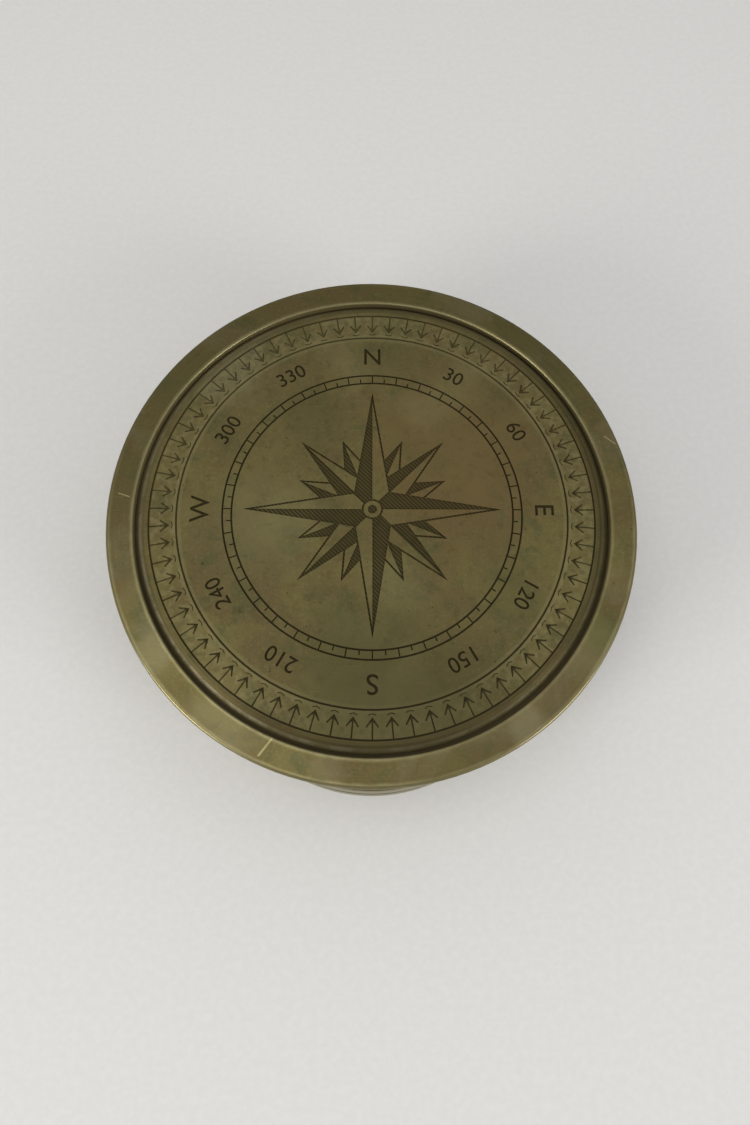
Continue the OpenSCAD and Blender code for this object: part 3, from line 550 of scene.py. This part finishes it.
def wall_brass():
    """Case and hinge leaves: patina with lathe marks round the wall and worn edges."""
    s = Surface("wall_brass")
    colour, height, clouds = patina(s)
    lines = s.turned(1.6, 5.0)
    outermost = s.step(s.radius, WALL_R - 0.25 * MM, WALL_R)
    edge = s.most(outermost, s.near(s.z, JOINT_Z, 0.1 * MM, 0.25 * MM))
    colour = s.tinted(
        colour,
        (s.step(lines, 0.42, 0.7, end=0.25), PALE),
        (s.step(s.noise(420, 3.0, 0.6, 0.5), 0.55, 0.72, end=0.35), DARK),
        (s.times(edge, 0.45), WORN_AND_HIGHLIGHT),
    )
    rough = s.step(clouds, 0.35, 0.65, 0.38, 0.50)
    height = s.plus(height, s.times(lines, 0.7))
    return s.finish(colour, rough, 0.88, height, 0.007 * MM)


def lip_brass(name, low, high, seam):
    """A thumb lip: rubbed pale, worn and painted highlight on its chamfer, with grime and painted
    shadow along its seam.
    """
    s = Surface(name)
    colour, height, clouds = patina(s)
    away = s.away_from(0, low.y + LIP_ARC_R)
    rubbed = s.step(s.noise(700, 3.0, 0.6), 0.3, 0.7, 0.15, 0.45)
    # worn and painted highlight on the chamfer's top edge
    edge = s.step(away, LIP_ARC_R - 0.45 * MM, LIP_ARC_R - 0.2 * MM)
    edge = s.times(edge, s.step(s.z, high.z - 0.45 * MM, high.z - 0.3 * MM))
    # dark line along the seam: painted shadow under the lid lip's edge on the case's lip, grime on the
    # lid's lip
    line = s.near(away, LIP_ARC_R - seam, 0.04 * MM, 0.1 * MM)
    colour = s.tinted(
        colour,
        (rubbed, LIP_RUBBED),
        # worn chamfer with painted highlight
        (s.times(edge, 0.85), LIP_WEAR_AND_HIGHLIGHT),
        (s.times(line, 0.85), DARK),
    )
    rough = s.blend(edge, s.blend(clouds, 0.38, 0.5), 0.3)
    return s.finish(colour, rough, 0.88, height, 0.007 * MM)


def turned_metal(name, base, light, dark, rough):
    """Metal turned on a lathe, with fine rings and a little tarnish."""
    s = Surface(name)
    lines = s.turned(0.7, 4.5)
    tarnish = s.noise(85, 3.0, 0.5)
    spots = s.step(s.noise(1300, 3.0, 0.6), 0.66, 0.74)
    colour = s.tinted(
        s.mix(s.step(lines, 0.3, 0.75, end=0.6), base, light),
        (s.step(tarnish, 0.38, 0.78, end=0.45), dark),
        (s.times(spots, 0.3), dark),
    )
    roughness = s.step(tarnish, 0.35, 0.75, rough, rough + 0.12)
    height = s.minus(s.times(lines, 0.5), s.times(spots, 0.6))
    return s.finish(colour, roughness, 0.95, height, 0.003 * MM)


def blued_steel():
    """Heat-blued steel: deep blue that runs to violet in places, brushed along the needle."""
    s = Surface("blued_steel")
    drift = s.noise(150, 3.0, 0.5, 0.7)
    brushed = s.noise(1.0, 3.0, 0.6, 0.1, s.vector("MULTIPLY", s.place, (9000, 260, 260)))
    colour = s.mix(s.step(drift, 0.4, 0.65), (0.012, 0.030, 0.135), (0.040, 0.018, 0.110))
    colour = s.mix(s.step(brushed, 0.45, 0.75, end=0.4), colour, (0.05, 0.11, 0.30))
    rough = s.step(brushed, 0.3, 0.7, 0.22, 0.36)
    return s.finish(colour, rough, 0.95, brushed, 0.003 * MM)


def enamel():
    """Aged ivory enamel of the dial, yellower towards its rim, with fine crazing and spots."""
    s = Surface("enamel")
    clouds = s.noise(130, 4.0, 0.6, 0.5)
    cells = s.add("ShaderNodeTexVoronoi", feature="DISTANCE_TO_EDGE")
    s.feed(cells.inputs["Vector"], s.place)
    cells.inputs["Scale"].default_value = 420
    crack = s.step(cells.outputs["Distance"], 0.035, 0.012)
    crack = s.times(crack, s.step(s.noise(190, 2.0), 0.5, 0.62))
    colour = s.tinted(
        s.mix(s.step(clouds, 0.35, 0.7), (0.76, 0.70, 0.54), (0.66, 0.58, 0.40)),
        (s.step(s.radius, 8 * MM, card_r, end=0.5), (0.58, 0.47, 0.29)),
        (s.times(crack, 0.5), (0.30, 0.22, 0.12)),
        (s.step(s.noise(900, 3.0, 0.6), 0.69, 0.75, end=0.4), (0.36, 0.26, 0.13)),
    )
    rough = s.blend(clouds, 0.30, 0.48)
    height = s.minus(s.times(clouds, 0.3), crack)
    return s.finish(colour, rough, 0.0, height, 0.004 * MM, Coat_Weight=0.25, Coat_Roughness=0.2)


def ink(name, deep, faded):
    """Printing ink, faded in patches."""
    s = Surface(name)
    wear = s.noise(800, 4.0, 0.65, 0.4)
    fine = s.noise(5200, 3.0, 0.6)
    colour = s.mix(s.step(wear, 0.5, 0.78), deep, faded)
    colour = s.mix(s.step(fine, 0.6, 0.8, end=0.3), colour, faded)
    return s.finish(colour, s.blend(wear, 0.4, 0.6), 0.0, fine, 0.002 * MM)


def clear_glass():
    """Flat glass with a faint haze, hairlines and the green of its thickness."""
    s = Surface("clear_glass")
    haze = s.noise(120, 4.0, 0.6, 0.8)
    hair = s.hairs(GLASS_HAIRS)
    colour = s.mix(s.step(haze, 0.4, 0.8), (0.965, 0.985, 0.975), (0.93, 0.96, 0.945))
    rough = s.plus(s.step(haze, 0.45, 0.85, end=0.05), s.times(hair, 0.18))
    return s.finish(colour, rough, 0.0, hair, 0.002 * MM, Transmission_Weight=1.0, IOR=1.5)


def red_jewel():
    """Red stone bearing with small inclusions."""
    s = Surface("red_jewel")
    cloud = s.noise(1600, 3.0, 0.6, 0.6)
    colour = s.mix(s.step(cloud, 0.4, 0.7), (0.52, 0.02, 0.05), (0.34, 0.01, 0.03))
    rough = s.blend(cloud, 0.06, 0.16)
    return s.finish(colour, rough, 0.0, cloud, 0.002 * MM, Transmission_Weight=0.5, IOR=1.76)


def black_seal():
    """Black seal with a dull, dusty skin."""
    s = Surface("black_seal")
    dust = s.noise(900, 4.0, 0.6)
    colour = s.mix(s.step(dust, 0.45, 0.75), (0.016, 0.016, 0.015), (0.055, 0.052, 0.046))
    return s.finish(colour, s.blend(dust, 0.6, 0.85), 0.0, dust, 0.01 * MM)


BACKDROP = (0.545, 0.535, 0.510)
ROOM_COLOUR = (0.98, 0.99, 1.0)
ROOM_LIGHT = 0.48
FLOOR_R = 5.0
FLOOR_FADES = (0.12, 0.42)


def show_backdrop(tree, plain, output, share=None):
    """Lets the camera, metal and glass see the backdrop's colour in place of a plain shader."""
    in_world = output.bl_idname == "ShaderNodeOutputWorld"
    seen = tree.nodes.new("ShaderNodeBackground" if in_world else "ShaderNodeEmission")
    seen.inputs["Color"].default_value = (*BACKDROP, 1)
    path = tree.nodes.new("ShaderNodeLightPath")
    steps = [
        ("MAXIMUM", path.outputs["Is Glossy Ray"]),
        ("MAXIMUM", path.outputs["Is Transmission Ray"]),
    ]
    if share:
        steps.append(("MULTIPLY", share))
    fac = path.outputs["Is Camera Ray"]
    for operation, other in steps:
        node = tree.nodes.new("ShaderNodeMath")
        node.operation = operation
        tree.links.new(fac, node.inputs[0])
        tree.links.new(other, node.inputs[1])
        fac = node.outputs[0]
    either = tree.nodes.new("ShaderNodeMixShader")
    tree.links.new(fac, either.inputs[0])
    tree.links.new(plain, either.inputs[1])
    tree.links.new(seen.outputs[0], either.inputs[2])
    tree.links.new(either.outputs[0], output.inputs["Surface"])


def floor_card():
    """Pale matt card under the compass, which runs into the backdrop away from it."""
    s = Surface("floor_card")
    fibre = s.noise(900, 4.0, 0.6)
    colour = s.mix(s.step(fibre, 0.35, 0.7), (0.80, 0.79, 0.77), (0.83, 0.82, 0.80))
    far = s.step(s.radius, *FLOOR_FADES)
    show_backdrop(s.tree, s.shader.outputs[0], s.tree.nodes["Material Output"], far)
    return s.finish(colour, 0.85, 0.0, fibre)


# Turned metals: base, light and dark colour, and roughness
TURNED = {
    "polished_brass": ((0.50, 0.37, 0.15), (0.66, 0.51, 0.24), (0.22, 0.15, 0.055), 0.24),
    "aged_screws": ((0.27, 0.205, 0.085), (0.40, 0.31, 0.15), (0.10, 0.072, 0.026), 0.34),
    "silvered_brass": ((0.55, 0.53, 0.46), (0.68, 0.66, 0.60), (0.33, 0.29, 0.19), 0.34),
    "turned_steel": ((0.36, 0.365, 0.375), (0.52, 0.525, 0.535), (0.14, 0.12, 0.10), 0.26),
}
turned = {name: turned_metal(name, *look) for name, look in TURNED.items()}
dark_ink = ink("dark_ink", (0.012, 0.012, 0.016), (0.075, 0.062, 0.045))
red_ink = ink("red_ink", (0.26, 0.035, 0.025), (0.42, 0.16, 0.09))
plate_finish = plate_brass()

# The lid's lip has its seam this far in, and the case's lip has it below the lid's edge
LIP_SEAM = 2 * MM
lid_lip, case_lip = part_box("thumb_lip"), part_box("case_lip")

SLOT_FINISHES = {
    "aged_brass": wall_brass(),
    "engraved_brass": plate_finish,
    "polished_brass": turned["polished_brass"],
    "silvered_brass": turned["silvered_brass"],
    "dial_enamel": enamel(),
    "steel": turned["turned_steel"],
    "blued_steel": blued_steel(),
    "glass": clear_glass(),
    "seal": black_seal(),
    "jewel": red_jewel(),
}
OWN_FINISHES = {
    "lid_rim": lid_brass(),
    "lid_hinge_screws": turned["aged_screws"],
    "case_hinge_screws": turned["aged_screws"],
    "thumb_lip": lip_brass("lid_lip_brass", *lid_lip, LIP_SEAM),
    "case_lip": lip_brass("case_lip_brass", *case_lip, lid_lip[0].y - case_lip[0].y),
}


def paint(obj, material):
    """Gives all of an object's surface one material."""
    obj.data.materials.clear()
    obj.data.materials.append(material)


for part in frame["record"]["subparts"]:
    finish = OWN_FINISHES.get(part["node"], SLOT_FINISHES[part["material_slot"]])
    paint(nodes[part["node"]], finish)


def new_piece(name, bm, material, body):
    """A mesh piece that rides on a body."""
    mesh = bpy.data.meshes.new(name)
    bm.to_mesh(mesh)
    bm.free()
    piece = bpy.data.objects.new(name, mesh)
    bpy.context.scene.collection.objects.link(piece)
    paint(piece, material)
    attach(piece, body)
    return piece


def place_at(radius, bearing):
    """Turn and shift that put a flat shape on a circle, its top outwards.

    Bearings run clockwise from the hinge.
    """
    turn = Matrix.Rotation(-math.radians(bearing), 4, "Z")
    return turn @ Matrix.Translation((0, radius, 0))


def add_text(bm, text, size, radius, bearing, bold=0.0):
    """Flat filled lettering in the drawing plane."""
    data = bpy.data.curves.new("lettering", "FONT")
    data.body = text
    data.size = size
    data.align_x = "CENTER"
    data.align_y = "CENTER"
    data.offset = bold
    data.resolution_u = 6
    source = bpy.data.objects.new("lettering", data)
    bpy.context.scene.collection.objects.link(source)
    source.matrix_world = place_at(radius, bearing)
    bpy.context.view_layer.update()
    depsgraph = bpy.context.evaluated_depsgraph_get()
    mesh = bpy.data.meshes.new_from_object(source.evaluated_get(depsgraph))
    mesh.transform(source.matrix_world)
    bm.from_mesh(mesh)
    bpy.data.objects.remove(source)
    bpy.data.curves.remove(data)
    bpy.data.meshes.remove(mesh)


def add_shape(bm, points, radius=0.0, bearing=0.0):
    """Flat filled polygon in the drawing plane, counter-clockwise."""
    place = place_at(radius, bearing)
    bm.faces.new([bm.verts.new(place @ Vector((x, y, 0))) for x, y in points])


def add_band(bm, r_in, r_out, steps=180):
    """Flat ring in the drawing plane."""
    for k in range(steps):
        a, b = (2 * math.pi * j / steps for j in (k, k + 1))
        corners = [(r_in, a), (r_out, a), (r_out, b), (r_in, b)]
        bm.faces.new([bm.verts.new((r * math.cos(t), r * math.sin(t), 0)) for r, t in corners])


def add_tick(bm, r_in, r_out, bearing, width):
    """Flat radial mark in the drawing plane."""
    half, length = width / 2, r_out - r_in
    add_shape(bm, [(-half, 0), (half, 0), (half, length), (-half, length)], r_in, bearing)


WELD = 0.001 * MM


def raise_flat(bm, low, high):
    """Turns flat shapes in the drawing plane into closed solids between two heights."""
    bmesh.ops.remove_doubles(bm, verts=bm.verts, dist=WELD)
    for vert in bm.verts:
        vert.co.z = low
    raised = bmesh.ops.extrude_face_region(bm, geom=bm.faces[:])["geom"]
    for item in raised:
        if isinstance(item, bmesh.types.BMVert):
            item.co.z = high
    bmesh.ops.recalc_face_normals(bm, faces=bm.faces)


QUARTERS = {0: "N", 90: "E", 180: "S", 270: "W"}
HALF_QUARTERS = {45: "NE", 135: "SE", 225: "SW", 315: "NW"}

# Numbers cut into the lid's plate
LID_NUMBER_R = 24.6 * MM
LID_NUMBER_H = 3.1 * MM
LID_LETTER_H = 3.9 * MM
LID_BOLD = 0.015 * MM
CUT_DEPTH = 0.16 * MM
CUT_ABOVE = 0.3 * MM
PLATE_WELD = 0.0001 * MM

# The plate's faces are shaded smooth where their normal rises less than this,
# and edges over this angle in degrees are sharp
CURVED_BELOW = 0.95
SHARP_FROM = 5


def number_cutter():
    """Solid letters and numbers that stand through the plate's face."""
    bm = bmesh.new()
    for bearing in range(0, 360, 30):
        letter = QUARTERS.get(bearing)
        size = LID_LETTER_H if letter else LID_NUMBER_H
        add_text(bm, letter or str(bearing), size, LID_NUMBER_R, bearing, LID_BOLD)
    raise_flat(bm, plate_top - CUT_DEPTH, plate_top + CUT_ABOVE)
    mesh = bpy.data.meshes.new("number_cutter")
    bm.to_mesh(mesh)
    bm.free()
    cutter = bpy.data.objects.new("number_cutter", mesh)
    bpy.context.scene.collection.objects.link(cutter)
    return cutter


def engraved_plate():
    """The plate with degree numbers and the four quarters cut into it."""
    cutter = number_cutter()
    source = nodes["lid_plate"].data
    blank = bpy.data.meshes.new("plate_blank")
    blank.from_pydata([v.co for v in source.vertices], [], [p.vertices[:] for p in source.polygons])
    body = bmesh.new()
    body.from_mesh(blank)
    bmesh.ops.remove_doubles(body, verts=body.verts, dist=PLATE_WELD)
    plate = new_piece("numbered_plate", body, plate_finish, "lid")
    cut = plate.modifiers.new("numbers", "BOOLEAN")
    cut.operation = "DIFFERENCE"
    cut.solver = "MANIFOLD"
    cut.object = cutter
    bpy.context.view_layer.update()
    depsgraph = bpy.context.evaluated_depsgraph_get()
    carved = bpy.data.meshes.new_from_object(plate.evaluated_get(depsgraph))
    plate.modifiers.clear()
    plate.data = carved
    for face in carved.polygons:
        face.use_smooth = abs(face.normal.z) < CURVED_BELOW
    carved.set_sharp_from_angle(angle=math.radians(SHARP_FROM))
    bpy.data.objects.remove(cutter)
    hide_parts("lid_plate")


engraved_plate()

# Print on the dial card
INK_T = 0.02 * MM
INK_LIFT = 0.002 * MM
STAR_HOLE = CARD_HOLE + 0.4 * MM


def star_halves(bm, bearings, length, waist_at, waist):
    """One half of each star point, from the hole's rim to the tip."""
    foot = waist * STAR_HOLE / waist_at
    for bearing in bearings:
        add_shape(bm, [(0, STAR_HOLE), (foot, STAR_HOLE), (waist, waist_at), (0, length)], 0, bearing)


def star_outline(bm, bearings, length, waist_at, waist, line):
    """Outline of the other half of each star point."""
    tip, corner = Vector((0, length)), Vector((-waist, waist_at))
    foot = Vector((-waist * STAR_HOLE / waist_at, STAR_HOLE))
    for bearing in bearings:
        for start, end in ((foot, corner), (corner, tip)):
            along = (end - start).normalized()
            inward = Vector((along.y, -along.x)) * line
            shape = [start + inward, end + inward, end, start]
            add_shape(bm, [tuple(p) for p in shape], 0, bearing)


def card_print(name, material, level, draw, *sizes):
    """A layer of print on the card; level counts the layers under it."""
    bm = bmesh.new()
    draw(bm, *sizes)
    low = card_top + INK_LIFT
    raise_flat(bm, low, low + INK_T * (1 + level / 2))
    new_piece(name, bm, material, "case")


def draw_star(bm, first, count, length, waist_at, sharpness, line):
    """A star of points that are filled on one side and outlined on the other."""
    bearings = [first + 360 / count * k for k in range(count)]
    waist = waist_at * math.tan(math.pi / sharpness)
    star_halves(bm, bearings, length, waist_at, waist)
    star_outline(bm, bearings, length, waist_at, waist, line)


# Circles of the card's scale: radius and width in millimetres
CARD_CIRCLES = ((14.2, 0.14), (25.3, 0.14), (26.9, 0.3))
CARD_TICK_R = 25.36 * MM
CARD_LONG_R, CARD_LONG_W = 26.76 * MM, 0.2 * MM
CARD_SHORT_R, CARD_SHORT_W = 26.1 * MM, 0.12 * MM

# Height and radius of the card's letters and numbers
CARD_QUARTERS = (4.3 * MM, 22.8 * MM)
CARD_HALF_QUARTERS = (2.5 * MM, 22.4 * MM)
CARD_NUMBERS = (1.7 * MM, 23.6 * MM)
CARD_BOLD = 0.04 * MM


def draw_scale(bm):
    """Circles, marks each five degrees, letters and numbers."""
    for r, width in CARD_CIRCLES:
        add_band(bm, (r - width / 2) * MM, (r + width / 2) * MM)
    for bearing in range(0, 360, 5):
        long = bearing % 10 == 0
        r_out, width = (CARD_LONG_R, CARD_LONG_W) if long else (CARD_SHORT_R, CARD_SHORT_W)
        add_tick(bm, CARD_TICK_R, r_out, bearing, width)
    for bearing, letter in QUARTERS.items():
        add_text(bm, letter, *CARD_QUARTERS, bearing, CARD_BOLD)
    for bearing, letters in HALF_QUARTERS.items():
        add_text(bm, letters, *CARD_HALF_QUARTERS, bearing)
    for bearing in range(0, 360, 30):
        if bearing not in QUARTERS:
            add_text(bm, str(bearing), *CARD_NUMBERS, bearing)


# Each star: first bearing, number of points, reach, radius of the waist, sharpness
# (half a turn over it is the waist's half angle) and the outline's width
MINOR_STAR = (22.5, 8, 13.2 * MM, 7.6 * MM, 16, 0.16 * MM)
HALF_QUARTER_STAR = (45, 4, 17.0 * MM, 6.6 * MM, 11, 0.2 * MM)
QUARTER_STAR = (0, 4, 20.4 * MM, 6.2 * MM, 9, 0.2 * MM)
card_print("card_star_minor", dark_ink, 0, draw_star, *MINOR_STAR)
card_print("card_star_half_quarters", red_ink, 1, draw_star, *HALF_QUARTER_STAR)
card_print("card_star_quarters", dark_ink, 2, draw_star, *QUARTER_STAR)
card_print("card_scale", dark_ink, 0, draw_scale)

# Black-filled graduations on the degree ring: length and width of the marks, and the numbers' size
FILL_T = 0.015 * MM
TICK_FROM = card_r - DIAL_RING_W + RING_SLOPE + 0.12 * MM
RING_LONG = (1.15 * MM, 0.16 * MM)
RING_SHORT = (0.65 * MM, 0.1 * MM)
RING_NUMBER_H = 1.35 * MM
RING_NUMBER_R = card_r - 0.85 * MM
RING_BOLD = 0.01 * MM

# The four screws stand at the half quarters, with this many degrees kept clear on each side
SCREW_CLEAR = 3


def ring_graduation():
    """Marks each two degrees, and numbers each thirty, clear of the four screws."""
    bm = bmesh.new()
    for bearing in range(0, 360, 2):
        if abs(bearing % 90 - 45) <= SCREW_CLEAR:
            continue
        length, width = RING_LONG if bearing % 10 == 0 else RING_SHORT
        add_tick(bm, TICK_FROM, TICK_FROM + length, bearing, width)
    for bearing in range(0, 360, 30):
        add_text(bm, str(bearing), RING_NUMBER_H, RING_NUMBER_R, bearing, RING_BOLD)
    raise_flat(bm, ring_top + INK_LIFT, ring_top + INK_LIFT + FILL_T)
    new_piece("ring_graduation", bm, dark_ink, "case")


ring_graduation()


def area_light(name, place, target, size, radiance, colour):
    """Soft box; radiance is the brightness of its face, where white paper in full light is 1."""
    data = bpy.data.lights.new(name, "AREA")
    data.shape = "RECTANGLE"
    data.size, data.size_y = size
    data.color = colour
    data.energy = radiance * math.pi * size[0] * size[1]
    light = bpy.data.objects.new(name, data)
    bpy.context.scene.collection.objects.link(light)
    light.location = place
    light.rotation_euler = (Vector(place) - Vector(target)).to_track_quat("Z", "Y").to_euler()


def around(azimuth, elevation, distance):
    """Point seen from the lid; azimuth 0 is the front and 90 the right side."""
    a, e = math.radians(azimuth), math.radians(elevation)
    flat = distance * math.cos(e)
    return (flat * math.sin(a), -flat * math.cos(a), lid_top + distance * math.sin(e))


# Soft boxes: azimuth, elevation and distance from the lid, size, radiance and colour
LIGHTS = {
    "overhead_box": ((-80, 75, 0.62), (0.32, 0.32), 1.7, (1.0, 0.98, 0.94)),
    "side_box": ((112, 68, 0.62), (0.24, 0.24), 1.0, (1.0, 0.98, 0.94)),
    "left_box": ((-55, 22, 0.6), (0.22, 0.26), 7.2, (1.0, 0.97, 0.92)),
    "right_box": ((55, 22, 0.6), (0.22, 0.26), 5.5, (0.97, 0.98, 1.0)),
}
for name, (where, size, radiance, colour) in LIGHTS.items():
    area_light(name, around(*where), (0, 0, lid_top), size, radiance, colour)


def make_room():
    """Pale floor and an even, pale room."""
    bm = bmesh.new()
    bmesh.ops.create_circle(bm, cap_ends=True, segments=96, radius=FLOOR_R)
    mesh = bpy.data.meshes.new("floor")
    bm.to_mesh(mesh)
    bm.free()
    floor = bpy.data.objects.new("floor", mesh)
    bpy.context.scene.collection.objects.link(floor)
    paint(floor, floor_card())
    world = bpy.data.worlds.new("room")
    bpy.context.scene.world = world
    world.use_nodes = True
    tree = world.node_tree
    room = tree.nodes["Background"]
    room.inputs["Color"].default_value = (*ROOM_COLOUR, 1)
    room.inputs["Strength"].default_value = ROOM_LIGHT
    show_backdrop(tree, room.outputs[0], tree.nodes["World Output"])


make_room()
make_camera()
bpy.context.scene.view_settings.view_transform = "Standard"
